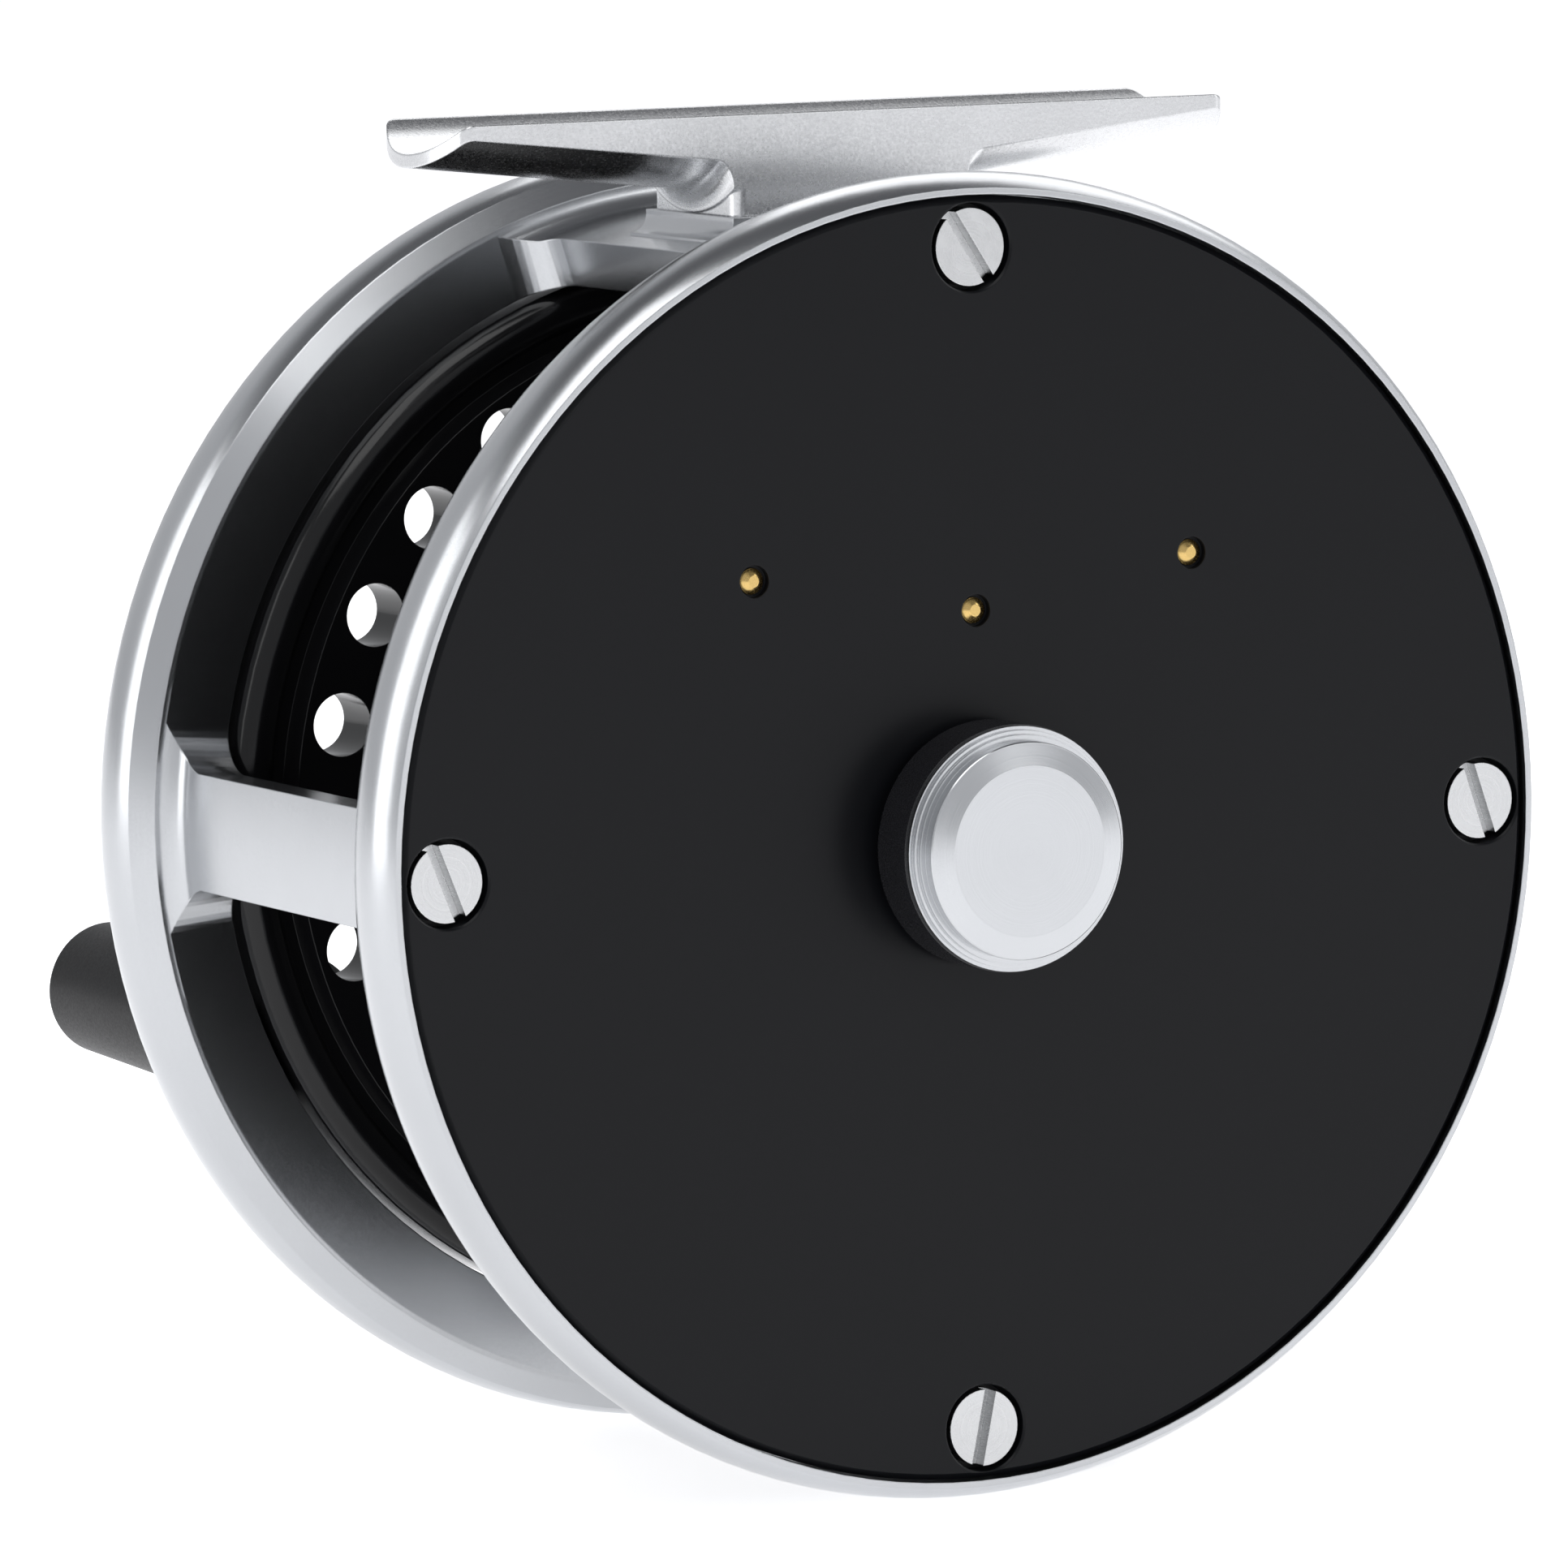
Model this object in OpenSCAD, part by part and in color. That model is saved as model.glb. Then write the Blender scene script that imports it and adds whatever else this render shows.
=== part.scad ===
// Fly reel with a one-piece caged frame, a draw-bar disc drag and a click pawl.
// Millimetres. +Z is up towards the rod, +X runs along the rod, -Y faces the drag knob.
// The origin is the middle of the saddle on top of the reel foot, where the rod's seat bears.

/* [Frame] */
// Outside diameter of the two frame rings
reel_d = 98; // [94:1:104]
// Frame width over both rings
frame_w = 49; // [48.6:0.1:50]
// Width of each frame ring
ring_w = 6.75; // [6.5:0.05:7]
// Radial thickness of the pillars
wall_t = 3.8; // [3.6:0.1:4]
// Half angle that the top pillar covers, degrees
top_pillar_half = 17.6; // [17:0.1:20]
// Half angle that each of the other three pillars covers, degrees
side_pillar_half = 5.6; // [5:0.1:7]
// Radius of the window corners
window_corner_r = 4; // [3:0.5:5]

/* [Back plate] */
// Thickness of the back plate
plate_t = 2.95; // [2.8:0.05:3]
// Radius of the circle that the plate screws lie on
plate_screw_r = 43.6; // [43.4:0.1:43.8]
// Head diameter of a plate screw
plate_screw_head_d = 5.7; // [5.4:0.1:6]
// Height of the pawl pivot above the spool axis
pawl_post_y = 17; // [17:0.1:17.2]
// Sideways distance of each spring post
spring_post_x = 18.4; // [18:0.1:19]
// Height of the spring posts above the spool axis
spring_post_y = 20.2; // [20.2:0.1:20.3]
// Diameter of the pawl and spring posts
post_d = 1.9; // [1.8:0.05:1.95]

/* [Reel foot] */
// Length of the foot
foot_l = 67.6; // [60:0.2:70]
// Width of the foot
foot_w = 13; // [12.6:0.1:13.4]
// Radius of the saddle in the foot's top
saddle_r = 10.5; // [10:0.1:12]
// Depth of the saddle
saddle_depth = 2.25; // [1.9:0.05:2.3]
// Length of the pedestal under the foot
pedestal_l = 19.8; // [18:0.2:22]
// Slope of the foot's underside, degrees
foot_taper = 6.2; // [5.5:0.1:6.4]

/* [Drag knob] */
// Diameter of the black part of the drag knob
knob_d = 18.2; // [18:0.2:20]
// Height of the drag knob above the back plate
knob_h = 7.5; // [7.3:0.1:8.5]
// Number of clicks in one turn of the drag knob
detents = 24; // [12:1:30]

/* [Spool] */
// Diameter of the spool's flanges
flange_d = 81.4; // [81:0.1:81.6]
// Diameter of the arbor that the line winds on
arbor_d = 46; // [40:1:50]
// Clear width between the flanges
spool_w = 33.8; // [33:0.1:34]
// Number of places for holes around the crank-side flange
flange_holes = 24; // [20:1:24]
// Diameter of a flange hole
flange_hole_d = 4.8; // [4:0.1:5.2]
// Number of teeth on the click gear
gear_teeth = 40; // [30:1:48]

/* [Handle] */
// Distance of the handle from the spool axis
handle_r = 36.5; // [35.5:0.1:37]
// Position of the handle around the spool, degrees
handle_angle = 208.7; // [0:0.1:360]
// Length of the handle
handle_l = 36; // [30:1:40]
// Diameter of the handle at the spool
handle_base_d = 12.6; // [12:0.1:13]
// Diameter of the handle at its tip
handle_tip_d = 10.4; // [10:0.1:11]

/* [Hidden] */
$fn = 128;
eps = 0.01;

// Points of an arc, from one angle to another
function arc(x, y, r, from, to, steps) =
    [for (i = [0 : steps]) let (a = from + (to - from) * i / steps) [x + r * cos(a), y + r * sin(a)]];

// Running clearance on a radius, and the smaller gap of a seated part
run_c = 0.05;
seat_c = 0.02;

// Frame rings and wall. Along the axis, u = 0 is the middle and +u faces the drag knob.
ring_r = reel_d / 2;
half_w = frame_w / 2;
ring_in = half_w - ring_w;
bead_r = 5.2;
bore_r = 41.2;
wall_r = bore_r + wall_t;
cove_r = 1.8;
strip_w = 1.15;
recess_r = ring_r - 1.55;
pillars = [[0, side_pillar_half], [90, top_pillar_half],
           [180, side_pillar_half], [270, side_pillar_half]];

// Back plate
plate_r = recess_r - 0.15;
plate_top = half_w - 0.2;
plate_bottom = plate_top - plate_t;
plate_edge = 0.5;
plate_boss_r = 7.5;
plate_boss_end = 17.4;
track_r = [29.8, 39.6];
track_u = 19.6;
well_r = 6.2;
well_u = plate_top - 1.6;
screw_pilot_r = 1.3;
screw_shank_r = 1.25;
screw_depth = 9;
counterbore_r = plate_screw_head_d / 2 + 0.4;
counterbore_depth = 1.9;
counterbore_edge = 0.15;
slot_w = 0.95;
screw_edge = 0.3;
slot_share = 0.7;
// Turn of each plate screw's slot, in the order right, top, left, bottom
slot_turns = [19, 33, 22, -12];

// Foot and its seat, as heights above the spool axis
axis_drop = 50.65;
boss_top = 45.35;
boss_side = 0.35;
boss_cove_r = 1.4;
foot_top = axis_drop + saddle_depth;
foot_end_t = 1;
under_r = 10;
end_round_r = 12.5;
foot_corner_r = 1.2;
pedestal_cove_r = 1.6;
pedestal_corner_r = 1;
foot_screw_x = 5.5;
foot_thread_r = 1.35;
foot_screw_r = 1.3;
foot_head_r = 2.6;
foot_head_z = 43.1;
foot_head_h = 1.5;

// Spindle and the parts on it
spindle_r = 3;
bushing_r = 4.6;
thread_r = 2.5;
thread_start = plate_top - 1.2;
thread_end = plate_top + 5.4;
key_u = 18.8;
key_r = 0.8;
key_half = 4.3;
nut_thread_u = -17.9;
spindle_tail = -23.6;
bearing_r = 6.5;
bearing_w = 5;
bearing_u = 11.2;
lock_nut_r = 6.6;
lock_nut_seat = -20.9;
lock_nut_edge = -24;
lock_nut_end = -24.5;
coin_slot_w = 1.6;

// Drag knob
knob_gap = 0.6;
knob_bottom = plate_top + knob_gap;
knob_top = plate_top + knob_h;
cap_r = knob_d / 2 - 0.1;
cap_bottom = knob_top - 2.4;
cap_face_r = cap_r - 2.7;
cap_disc_r = cap_r - 1;
// Outer steps of the cap: how far each is in from the rim, and its height above the cap's base
cap_steps = [[0, 0.45], [0.28, 0.8], [0.58, 1.1]];
pin_r = 0.75;
knob_nut_r = 5.4;
pin_circle_r = knob_nut_r + 1.7;
detent_r = 7.7;
ball_r = 0.8;
ball_u = knob_bottom - 0.08 - ball_r;

// Spool
flange_r = flange_d / 2;
arbor_r = arbor_d / 2;
web_u = spool_w / 2;
near_bead_r = 1.2;
far_bead_r = 1.6;
web_rise = 1.6;
groove_r = flange_r - 2 * far_bead_r - 0.9;
near_face = 18.2;
far_web = -(web_u + 3);
rim_end = -23.6;
corner_bite = 0.04;
window_end = ring_in - 0.06;
rim_in = flange_r - 2.5;
post_seat = rim_end - 0.2;
hub_r = 9.4;
hub_pocket_r = 8.2;
hub_bore_r = 4.2;
cork_r = [30.2, 38.6];
cork_u = [17.4, 19.1];
hole_circle_r = 33;
hole_phase = 2.5;
hole_step = 360 / flange_holes;
vent_r = 3.6;
vent_circle_r = 16.2;
hub_end = -20.3;
post_boss_r = 3.4;
weight_screw_r = 0.85;
gear_screw_r = 0.6;
hole_skip = 9;
weight_skip = 17;
weight_screw_angle = 8;
gear_tip_r = 12.6;
gear_root_r = 11.5;
gear_in_r = 8.6;
gear_u = [near_face, near_face + 2];
gear_screw_circle = 10.05;

// Pawl
pawl_u = [18.9, 20.1];
pawl_tip = 4.25;
pawl_top = 2.2;
spring_t = 0.35;
spring_w = 1.4;
spring_rise = 0.4;

// Handle
handle_start = -(half_w + 0.7);
handle_end = handle_start - handle_l;
handle_dome_r = 5.6;
post_r = 2.5;
bush_r = 3.9;
bush_l = 8;
post_end = handle_start - 24;
handle_bore_end = post_end - 2.2;

// Places a shape drawn about local Z on the spool's axis, with local Z towards the drag knob
module on_axis() {
    translate([0, 0, -axis_drop]) rotate([90, 0, 0]) children();
}

// A straight cylinder between two places on the local axis
module rod(r, from, to) {
    translate([0, 0, from]) cylinder(r = r, h = to - from);
}

// A tube between two places on the local axis
module tube(r_out, r_in, from, to) {
    difference() {
        rod(r_out, from, to);
        rod(r_in, from - 1, to + 1);
    }
}

// Copies a shape to a place on a circle around the local axis
module polar(r, angle) {
    rotate([0, 0, angle]) translate([r, 0, 0]) children();
}

// Slotted cheese-head screw, head down to shank, with its head's top at z = 0
module slotted_screw(head_r, head_h, shank_r, length, slot, turn) {
    difference() {
        union() {
            rod(head_r, screw_edge - head_h, 0);
            translate([0, 0, -head_h])
                cylinder(r1 = head_r - screw_edge, r2 = head_r, h = screw_edge + eps);
            rod(shank_r, -length, -head_h + eps);
        }
        rotate([0, 0, turn]) cube([slot, 3 * head_r, 2 * slot_share * head_h], center = true);
    }
}

// Half section of the frame's blank, u >= 0: wall, cove, sloped strip, barrel-shaped bead and face
function cage_outline() = let (bead_u = ring_in + ring_w / 2 + 0.2, bead_x = ring_r - bead_r) concat(
    arc(wall_r + cove_r, ring_in - cove_r, cove_r, 180, 90, 10),
    arc(bead_x, bead_u, bead_r, asin((ring_in + strip_w - bead_u) / bead_r),
        asin((half_w - bead_u) / bead_r), 16),
    [[bore_r, half_w]]);

// Full section of both rings and the wall between them
module cage_section() {
    outline = cage_outline();
    last = len(outline) - 1;
    polygon(concat(outline, [for (k = [last : -1 : 0]) [outline[k][0], -outline[k][1]]]));
}

// Rounded window corner beside a pillar, drawn in the plane along the ring and the axis
module corner_section() {
    beyond = 0.4;
    polygon(concat(
        [[-beyond, window_end + beyond], [-beyond, window_end - window_corner_r - beyond]],
        arc(window_corner_r, window_end - window_corner_r, window_corner_r + corner_bite, 180, 90, 12),
        [[window_corner_r + beyond, window_end + beyond]]));
}

// The four rounded corners beside one pillar
module pillar_corners(angle, half) {
    for (side = [0, 1]) rotate([0, 0, angle]) mirror([0, side, 0]) rotate([0, 0, half])
        for (end = [0, 1]) mirror([0, 0, end]) rotate([90, 0, 90])
            linear_extrude(ring_r + 5) corner_section();
}

// The opening between each pillar and the next one round, with rounded corners
module windows() {
    difference() {
        for (k = [0 : 3]) {
            from = pillars[k][0] + pillars[k][1];
            to = pillars[(k + 1) % 4][0] - pillars[(k + 1) % 4][1];
            rotate([0, 0, from]) rotate_extrude(angle = (to - from + 360) % 360)
                translate([bore_r - 3, -window_end]) square([ring_r - bore_r + 6, 2 * window_end]);
        }
        for (p = pillars) pillar_corners(p[0], p[1]);
    }
}

// Raised flat on the top pillar that carries the foot, with coved ends
module foot_boss() {
    half = pedestal_l / 2 + boss_side;
    rotate([90, 0, 0]) linear_extrude(foot_w + 2 * boss_side, center = true) {
        translate([-half, bore_r + 1]) square([2 * half, boss_top - bore_r - 1]);
        for (side = [0, 1]) mirror([side, 0]) difference() {
            translate([half - eps, boss_top - 2 * boss_cove_r])
                square([boss_cove_r, boss_cove_r * 1.8]);
            translate([half + boss_cove_r, boss_top - boss_cove_r * 0.2])
                circle(r = boss_cove_r);
        }
    }
}

// One-piece frame: two rings, four pillars and the boss for the foot
module frame_cage() {
    color("silver") difference() {
        union() {
            on_axis() difference() {
                rotate_extrude() cage_section();
                windows();
            }
            translate([0, 0, -axis_drop]) foot_boss();
        }
        on_axis() {
            rod(recess_r, plate_bottom, half_w + 1);
            for (k = [0 : 3]) polar(plate_screw_r, 90 * k)
                rod(screw_pilot_r, plate_bottom - screw_depth, plate_bottom + 1);
            translate([0, 0, -half_w - eps])
                cylinder(r1 = bore_r + 0.8, r2 = bore_r, h = 0.8);
        }
        for (side = [-1, 1]) translate([side * foot_screw_x, 0, -axis_drop]) {
            rod(foot_screw_r + 0.1, bore_r - 3, boss_top + 1);
            rod(foot_head_r + 0.2, bore_r - 3, foot_head_z);
        }
    }
}

// Black disc that closes the drag side, with the drag track and spindle boss inside
module back_plate() {
    color("#262627") on_axis() difference() {
        union() {
            rod(plate_r, plate_bottom, plate_top - plate_edge);
            translate([0, 0, plate_top - plate_edge - eps])
                cylinder(r1 = plate_r, r2 = plate_r - plate_edge, h = plate_edge + eps);
            rod(plate_boss_r, plate_boss_end, plate_bottom + 1);
            tube(track_r[1], track_r[0], track_u, plate_bottom + 1);
        }
        rod(bushing_r + seat_c, plate_boss_end - 1, plate_top + 1);
        rod(well_r, well_u, plate_top + 1);
        polar(detent_r, 90) rod(ball_r + run_c, plate_top - 2.4, plate_top + 1);
        for (k = [0 : 3]) polar(plate_screw_r, 90 * k) {
            rod(counterbore_r, plate_top - counterbore_depth, plate_top + 1);
            translate([0, 0, plate_top - counterbore_edge])
                cylinder(r1 = counterbore_r, r2 = counterbore_r + 2 * counterbore_edge,
                         h = 2 * counterbore_edge);
            rod(screw_shank_r + 0.35, plate_bottom - 1, plate_top + 1);
        }
        post_places() {
            rod(post_d / 2 + seat_c, plate_bottom - 1, plate_top + 1);
            rod(post_d / 2 + 0.25, plate_top - 0.6, plate_top + 1);
        }
    }
}

// Four slotted screws that hold the back plate
module plate_screws() {
    color("#b9bbbd") on_axis() for (k = [0 : 3])
        rotate([0, 0, 90 * k]) translate([plate_screw_r, 0, plate_top - 0.25])
            rotate([0, 0, -90 * k])
                slotted_screw(plate_screw_head_d / 2, counterbore_depth - 0.3, screw_shank_r,
                              plate_t + screw_depth - 1, slot_w, slot_turns[k]);
}

// The places of the pawl post and the two spring posts
module post_places() {
    translate([0, pawl_post_y, 0]) children();
    spring_post_places() children();
}

module spring_post_places() {
    for (side = [-1, 1]) translate([side * spring_post_x, spring_post_y, 0]) children();
}

// A post with a turned, domed end in the plate
module post(to) {
    dome = post_d / 2;
    rod(post_d / 2, to, plate_top - 0.45);
    translate([0, 0, plate_top - 0.45 - eps]) cylinder(r1 = dome, r2 = dome * 0.45, h = 0.35);
}

// Brass pivot of the click pawl
module pawl_post() {
    color("#c9a25a") on_axis() translate([0, pawl_post_y, 0]) post(pawl_u[0] - 0.1);
}

// Brass posts that hold the ends of the click spring
module spring_posts() {
    color("#c9a25a") on_axis() spring_post_places() post(pawl_u[0] - 0.1);
}

// Bowed leaf spring between the two posts that bears on the pawl's flat top
module click_spring() {
    leaf_top = spring_post_y - post_d / 2 - run_c;
    bow_r = (pow(spring_post_x, 2) + pow(spring_rise, 2)) / (2 * spring_rise);
    hook_in = post_d / 2 + run_c;
    color("#8f9092") on_axis() translate([0, 0, (pawl_u[0] + pawl_u[1] - spring_w) / 2])
        linear_extrude(spring_w) {
            intersection() {
                translate([0, leaf_top + spring_rise - bow_r]) difference() {
                    circle(r = bow_r, $fn = 720);
                    circle(r = bow_r - spring_t, $fn = 720);
                }
                translate([-spring_post_x, 0]) square([2 * spring_post_x, 2 * spring_post_y]);
            }
            for (side = [0, 1]) mirror([side, 0]) translate([spring_post_x, spring_post_y])
                difference() {
                    circle(r = hook_in + spring_t);
                    circle(r = hook_in);
                    translate([-4, 0]) square([4, 4]);
                    translate([-4, -4]) square([4 - 0.2, 8]);
                }
        }
}

// Bronze bushing in the back plate that guides the spindle, slotted for its key
module spindle_bushing() {
    color("#b08d57") on_axis() difference() {
        rod(bushing_r, plate_boss_end, well_u);
        rod(spindle_r + run_c, plate_boss_end - 1, well_u + 1);
        translate([0, 0, plate_boss_end - 1 + 1.9])
            cube([2 * bushing_r + 1, 2 * key_r + 0.2, 3.8], center = true);
    }
}

// Two cupped spring washers back to back under the knob's nut
module thrust_springs() {
    washer_in = thread_r + 0.6;
    washer_out = well_r - 0.4;
    washer_t = 0.3;
    cone_h = 0.35;
    color("#9c9da0") on_axis() for (k = [0, 1])
        translate([0, 0, well_u + cone_h + washer_t + 0.03]) mirror([0, 0, k])
            translate([0, 0, eps]) rotate_extrude()
                polygon([[washer_in, cone_h], [washer_out, 0],
                         [washer_out, washer_t], [washer_in, cone_h + washer_t]]);
}

// Small coil spring under the detent ball
module detent_spring() {
    coils = 4;
    wire_r = 0.15;
    from = plate_top - 2.4;
    to = ball_u - ball_r * 0.8;
    pitch = (to - from - 2 * wire_r) / (coils - 1);
    color("#8f9092") on_axis() polar(detent_r, 90) for (k = [0 : coils - 1])
        translate([0, 0, from + wire_r + k * pitch])
            rotate_extrude() translate([ball_r - wire_r - 0.1, 0]) circle(r = wire_r, $fn = 24);
}

// Steel ball that clicks under the drag knob
module detent_ball() {
    color("#c4c6c8") on_axis() polar(detent_r, 90) translate([0, 0, ball_u]) sphere(r = ball_r);
}

// Saddle-topped foot on a pedestal, tapered towards both ends
module reel_foot() {
    color("#c9cbcd") translate([0, 0, -axis_drop]) difference() {
        union() {
            for (side = [0, 1]) mirror([side, 0, 0]) foot_half();
            pedestal();
        }
        translate([0, 0, foot_top - saddle_depth + saddle_r]) rotate([0, 90, 0])
            cylinder(r = saddle_r, h = foot_l + 10, center = true);
        for (side = [-1, 1]) translate([side * foot_screw_x, 0, 0])
            rod(foot_thread_r, boss_top - 1, axis_drop - 1.6);
    }
}

// Carries a shape drawn about local Z onto the tilted axis of the foot's round underside,
// with local Z outward along the foot and local z = 0 at the foot's end
module on_under_axis() {
    translate([foot_l / 2, 0, foot_top - saddle_depth - foot_end_t]) rotate([0, -foot_taper, 0])
        translate([0, 0, under_r]) rotate([0, 90, 0]) children();
}

// Half of the foot with its round underside and the cove round the pedestal
module foot_half() {
    reach = foot_l / 2 - pedestal_l / 2;
    intersection() {
        on_under_axis() union() {
            rod(under_r, -foot_l / 2 - 5, 5);
            translate([0, 0, -reach]) rotate_extrude() difference() {
                translate([under_r - 1, -1]) square([pedestal_cove_r + 1, pedestal_cove_r + 1]);
                translate([under_r + pedestal_cove_r, pedestal_cove_r]) circle(r = pedestal_cove_r);
            }
        }
        linear_extrude(foot_top) foot_plan();
        translate([-1, -foot_w, boss_top]) cube([foot_l, 2 * foot_w, foot_top]);
    }
}

// Half outline of the foot from above, with an arched end and rounded corners
module foot_plan() {
    corner_y = foot_w / 2 - foot_corner_r;
    corner_x = sqrt(pow(end_round_r - foot_corner_r, 2) - pow(corner_y, 2));
    translate([foot_l / 2 - end_round_r, 0]) {
        intersection() {
            circle(r = end_round_r);
            polygon([[0, 0], [2 * corner_x, 2 * corner_y], [2 * corner_x, -2 * corner_y]]);
        }
        for (side = [-1, 1]) translate([corner_x, side * corner_y]) circle(r = foot_corner_r);
        translate([end_round_r - foot_l / 2 - 1, -foot_w / 2])
            square([foot_l / 2 - end_round_r + corner_x + 1, foot_w]);
    }
}

// Block between the foot and the frame's boss, with rounded upright edges
module pedestal() {
    round_x = pedestal_l / 2 - pedestal_corner_r;
    round_y = foot_w / 2 - pedestal_corner_r;
    translate([0, 0, boss_top]) linear_extrude(axis_drop - boss_top - 0.5) {
        square([2 * round_x, foot_w], center = true);
        square([pedestal_l, 2 * round_y], center = true);
        for (x = [-round_x, round_x], y = [-round_y, round_y])
            translate([x, y]) circle(r = pedestal_corner_r);
    }
}

// Two screws from inside the top pillar up into the foot
module foot_screws() {
    color("#b9bbbd") translate([0, 0, -axis_drop]) for (side = [-1, 1])
        translate([side * foot_screw_x, 0, foot_head_z - foot_head_h]) mirror([0, 0, 1])
            slotted_screw(foot_head_r, foot_head_h, foot_screw_r,
                          axis_drop - 2 - foot_head_z + foot_head_h, 0.7, 25 * side);
}

// Black lower part of the drag knob, with click dimples underneath
module drag_knob() {
    skirt = 0.5;
    color("#2b2b2c") on_axis() difference() {
        union() {
            translate([0, 0, knob_bottom])
                cylinder(r1 = knob_d / 2 - skirt, r2 = knob_d / 2, h = skirt + eps);
            rod(knob_d / 2, knob_bottom + skirt, cap_bottom);
        }
        rod(knob_nut_r + seat_c, knob_bottom - 1, cap_bottom + 1);
        for (k = [0 : detents - 1]) polar(detent_r, 90 + k * 360 / detents)
            translate([0, 0, knob_bottom - 0.45]) sphere(r = 0.75, $fn = 24);
        pin_places() rod(pin_r, cap_bottom - 3, cap_bottom + 1);
    }
}

// Bright cap of the drag knob: narrow steps, a wide chamfer and a turned face
module knob_cap() {
    chamfer_h = 0.42;
    disc_edge = 0.08;
    base = cap_bottom + cap_steps[2][1];
    color("#c9cbcd") on_axis() difference() {
        union() {
            for (step = cap_steps) rod(cap_r - step[0], cap_bottom, cap_bottom + step[1]);
            rotate_extrude() polygon([
                [0, cap_bottom + eps], [cap_disc_r, base - eps],
                [cap_disc_r, knob_top - chamfer_h - disc_edge],
                [cap_disc_r - disc_edge, knob_top - chamfer_h], [cap_face_r, knob_top], [0, knob_top]]);
        }
        rod(thread_r + 0.5, cap_bottom - 1, cap_bottom + 1);
        pin_places() rod(pin_r, cap_bottom - 1, cap_bottom + 0.9);
    }
}

// The places of the three pins between the cap and the knob
module pin_places() {
    for (k = [0 : 2]) polar(pin_circle_r, 30 + 120 * k) children();
}

// Brass nut pressed in the knob that pulls the spindle outward
module knob_nut() {
    color("#c9a25a") on_axis() difference() {
        union() {
            rod(knob_nut_r, knob_bottom, cap_bottom);
            rod(thread_r + 1.4, plate_top - 0.2, knob_bottom + 1);
        }
        rod(thread_r + run_c, plate_top - 1, cap_bottom + 1);
    }
}

// Three grub screws that pin the cap to the knob
module cap_screws() {
    color("#8f9092") on_axis() pin_places()
        rod(pin_r - seat_c, cap_bottom - 2.8, cap_bottom + 0.8);
}

// Draw bar that carries the spool and pulls it against the back plate
module spindle() {
    color("#b5b7b9") on_axis() difference() {
        union() {
            rod(spindle_r, nut_thread_u, thread_start);
            rod(thread_r, thread_start - eps, thread_end);
            rod(thread_r, spindle_tail, nut_thread_u + eps);
        }
        translate([0, 0, key_u]) rotate([0, 90, 0])
            cylinder(r = key_r + seat_c, h = 3 * spindle_r, center = true);
    }
}

// Cross pin that keeps the spindle from turning in its bushing
module spindle_key() {
    color("#9c9da0") on_axis() translate([0, 0, key_u]) rotate([0, 90, 0])
        cylinder(r = key_r, h = 2 * key_half, center = true);
}

// Coin-slotted nut on the crank side that holds the spool on the spindle
module spool_lock_nut() {
    color("#c9cbcd") on_axis() difference() {
        union() {
            rod(hub_bore_r - 0.1, lock_nut_seat, nut_thread_u - 0.1);
            rod(lock_nut_r, lock_nut_edge, lock_nut_seat + eps);
            translate([0, 0, lock_nut_end])
                cylinder(r1 = lock_nut_r - 0.5, r2 = lock_nut_r, h = lock_nut_edge - lock_nut_end + eps);
        }
        rod(thread_r + seat_c, lock_nut_edge, nut_thread_u + 1);
        translate([0, 0, lock_nut_end])
            cube([2 * lock_nut_r + 1, coin_slot_w, coin_slot_w], center = true);
    }
}

// Steel washer between the outer bearing and the lock nut
module thrust_washer() {
    color("#9c9da0") on_axis()
        tube(hub_bore_r, spindle_r + 0.1, nut_thread_u - 0.08, -bearing_u - bearing_w - 0.05);
}

// Half section of the spool: bearing hub, webs, arbor and flanges with a groove inside rolled rims
module spool_section() {
    arbor_t = 2.6;
    web_t = 3;
    cavity_top = web_u - web_t;
    near_x = flange_r - near_bead_r;
    far_x = flange_r - far_bead_r;
    bead_u = web_u + 0.6;
    near_bead = arc(near_x, bead_u, near_bead_r, 90, -150, 20);
    far_bead = arc(far_x, -bead_u, far_bead_r, 150, 0, 18);
    difference() {
        polygon(concat(
            [[hub_bore_r, near_face], [near_x - 1.5 * near_bead_r, near_face]],
            near_bead,
            [[near_x - near_bead_r, web_u], [arbor_r, web_u], [arbor_r, web_rise - web_u],
             [groove_r - 0.5, web_rise - web_u], [groove_r, -web_u], [far_x - far_bead_r, -web_u]],
            far_bead,
            [[flange_r, rim_end + 0.4], [flange_r - 0.4, rim_end], [rim_in, rim_end],
             [rim_in, far_web], [hub_r, far_web], [hub_r, hub_end], [hub_bore_r, hub_end]]));
        translate([hub_r, far_web + web_t])
            square([arbor_r - arbor_t - hub_r, cavity_top - far_web - web_t]);
    }
}

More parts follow.
